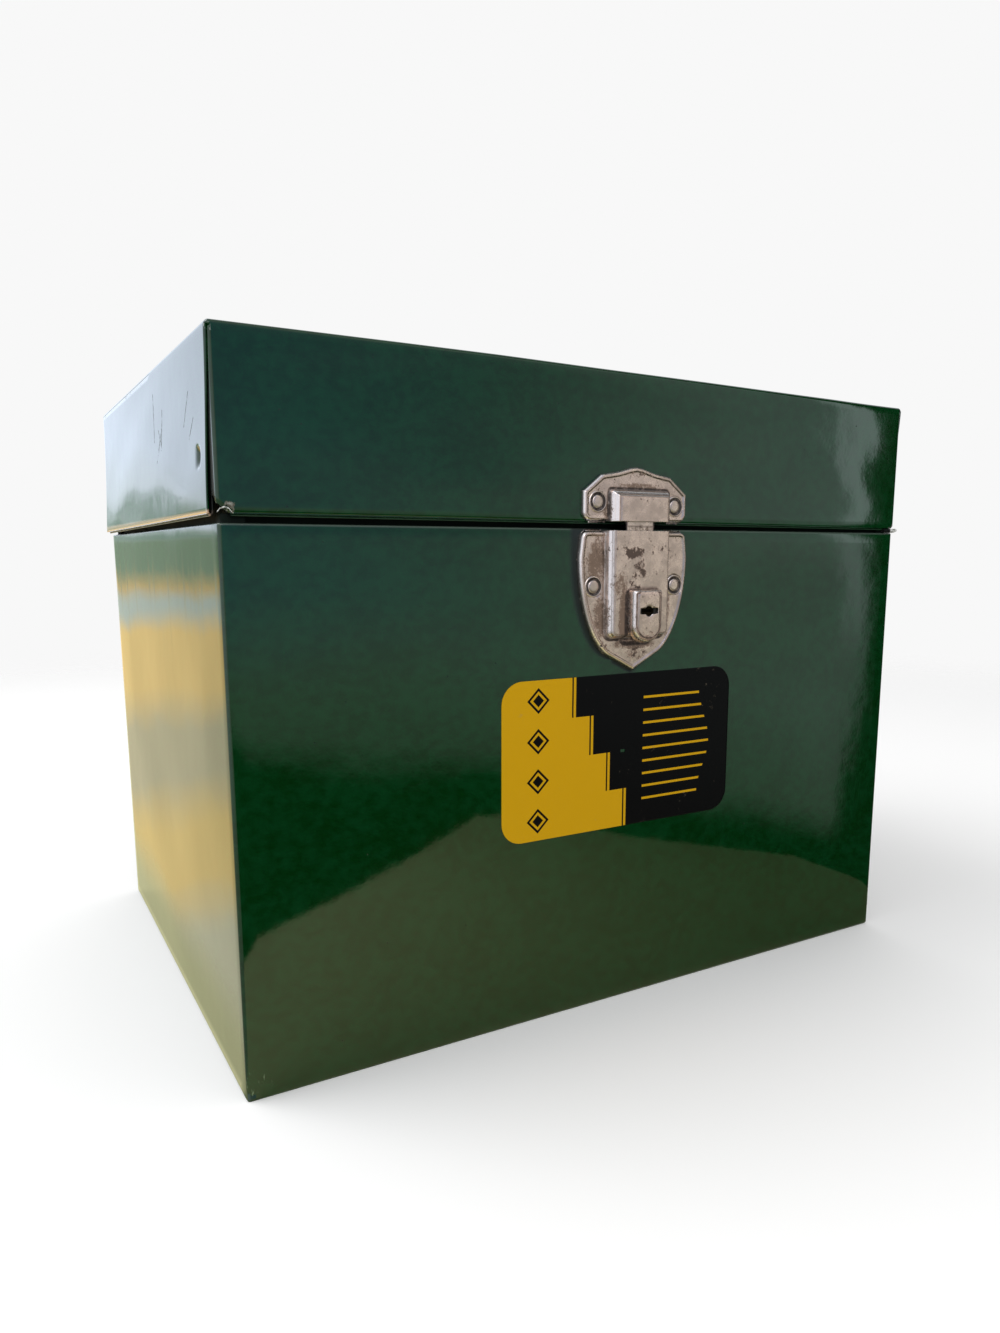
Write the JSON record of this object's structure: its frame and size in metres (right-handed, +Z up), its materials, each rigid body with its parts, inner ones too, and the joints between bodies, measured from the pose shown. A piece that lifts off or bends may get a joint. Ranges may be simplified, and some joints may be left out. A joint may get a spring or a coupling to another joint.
{
  "type": "deed box",
  "caption": "Sheet steel deed box with a rear-hinged lid, a dust lip, a sprung slide lock with a keyhole, and a folding bail handle.",
  "frame": {"origin": "the middle of the underside of the base, on the surface that the box stands on", "axes": "+X to the right as seen from the front, -Y out of the front with the lock, +Z up"},
  "size_m": [0.3174, 0.2524, 0.2636],
  "materials": {
    "green_enamel": "gloss baked enamel",
    "green_enamel_inside": "satin baked enamel",
    "worn_nickel": "worn nickel plate, tarnished",
    "bare_steel": "mill finish",
    "spring_steel": "drawn wire",
    "tumbler_brass": "dull",
    "bright_wire": "nickel plate",
    "label_foil": "printed foil, gloss"
  },
  "bodies": {
    "base": {"body_wrap": "green_enamel", "bottom_pan": "green_enamel_inside", "dust_lip": "green_enamel_inside", "label_plate": "label_foil", "hinge_leaf_base": "green_enamel", "hinge_pin": "bare_steel", "lock_plate": "worn_nickel", "lock_back_plate": "bare_steel", "lock_rivets": "worn_nickel", "lock_backing": "bare_steel", "latch_pin": "bare_steel"},
    "lid": {"lid_shell": "green_enamel", "hinge_leaf_lid": "green_enamel", "catch_plate": "worn_nickel", "catch_hook": "worn_nickel", "catch_rivets": "worn_nickel", "catch_backing": "bare_steel", "handle_bracket_left": "bright_wire", "handle_bracket_right": "bright_wire", "handle_rivets": "worn_nickel"},
    "handle": {"handle_bail": "bright_wire"},
    "slide": {"slide_button": "worn_nickel", "slide_carrier": "bare_steel", "return_spring": "spring_steel"},
    "tumbler": {"key_tumbler": "tumbler_brass"},
    "latch": {"latch_lever": "bare_steel"}
  },
  "joints": [
    {"name": "lid_hinge", "type": "hinge", "parent": "base", "child": "lid", "pos_m": [0, 0.1195, 0.1995], "axis": [-1, 0, 0], "range_deg": [0, 110]},
    {"name": "handle_fold", "type": "hinge", "parent": "lid", "child": "handle", "pos_m": [0, 0, 0.26], "axis": [1, 0, 0], "range_deg": [0, 180]},
    {"name": "slide_travel", "type": "slide", "parent": "base", "child": "slide", "axis": [0, 0, -1], "range_m": [0, 0.004], "stiffness_N_per_m": 400, "springref_m": -0.004, "deforming": ["return_spring"]},
    {"name": "key_turn", "type": "hinge", "parent": "slide", "child": "tumbler", "pos_m": [0.0036, -0.129, 0.166], "axis": [0, 1, 0], "range_deg": [0, 90]},
    {"name": "latch_tilt", "type": "hinge", "parent": "base", "child": "latch", "pos_m": [0.0036, -0.1232, 0.169], "axis": [-1, 0, 0], "range_deg": [0, 3.3]}
  ],
  "couplings": [
    {"joint": "latch_tilt", "follows": "slide_travel", "rad_per_m": 14}
  ]
}
